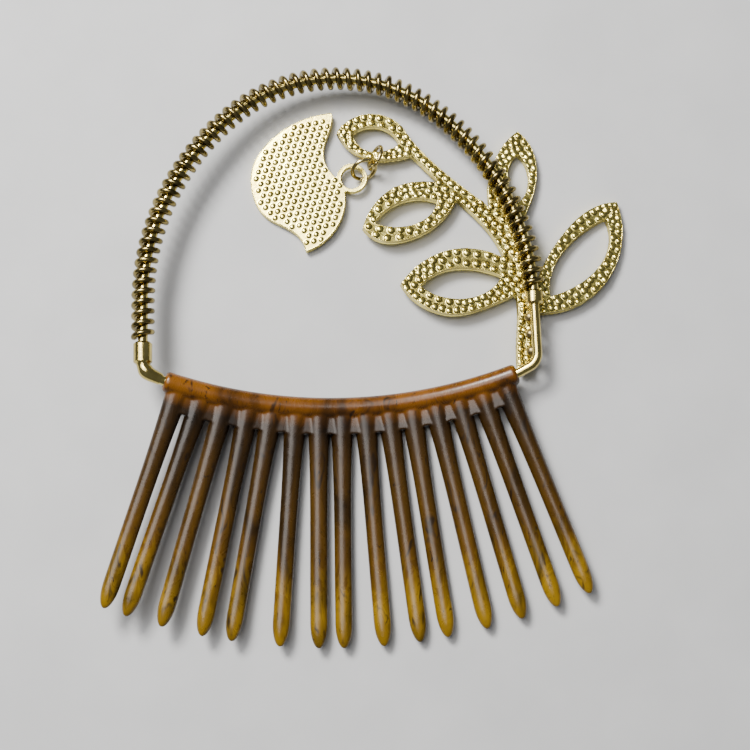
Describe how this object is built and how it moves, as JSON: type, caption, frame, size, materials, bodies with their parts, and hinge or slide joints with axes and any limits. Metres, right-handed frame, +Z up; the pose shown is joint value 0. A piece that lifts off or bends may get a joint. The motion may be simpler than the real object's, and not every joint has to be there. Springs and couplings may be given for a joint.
{
  "type": "hair comb",
  "caption": "Decorative hair comb: a fanned translucent plastic comb carrying a coil-wound wire hoop, a cast branch of open leaves and a petal charm on jump rings.",
  "frame": {"origin": "centre of the object's box in plan, on the surface that the comb lies on", "axes": "+Y from the comb's teeth towards the top of the hoop, +X along the spine towards the branch side, +Z up, away from the surface it lies on"},
  "size_m": [0.091, 0.1016, 0.0097],
  "materials": {
    "tortoiseshell_plastic": "polished translucent tortoiseshell, warm brown with near-black mottles and amber tips",
    "gold_wire": "pale gold plating, polished",
    "gold_casting": "pale gold plating over a pebbled casting, with smooth rims",
    "solder": "plated solder, slightly dull"
  },
  "bodies": {
    "comb_and_hoop": {"comb": "tortoiseshell_plastic", "hoop_core_wire": "gold_wire", "hoop_coil": "gold_wire", "left_collar": "gold_wire", "right_collar": "gold_wire", "branch": "gold_casting", "solder_joints": "solder"},
    "upper_ring": {"upper_jump_ring": "gold_wire"},
    "lower_ring": {"lower_jump_ring": "gold_wire"},
    "petal_charm": {"petal": "gold_casting"}
  },
  "joints": [
    {"name": "upper_ring_swing", "type": "hinge", "parent": "comb_and_hoop", "child": "upper_ring", "pos_m": [0.00215, 0.03491, 0.00217], "axis": [0.995, -0.1, 0], "range_deg": [-45, 45]},
    {"name": "lower_ring_swing", "type": "hinge", "parent": "upper_ring", "child": "lower_ring", "pos_m": [0.00122, 0.03268, 0.00199], "axis": [0.3091, -0.3432, 0.887], "range_deg": [-10, 15]},
    {"name": "petal_swing", "type": "hinge", "parent": "lower_ring", "child": "petal_charm", "pos_m": [-0.00114, 0.03132, 0.00102], "axis": [0.7653, -0.1156, -0.6332], "range_deg": [-15, 10]}
  ]
}
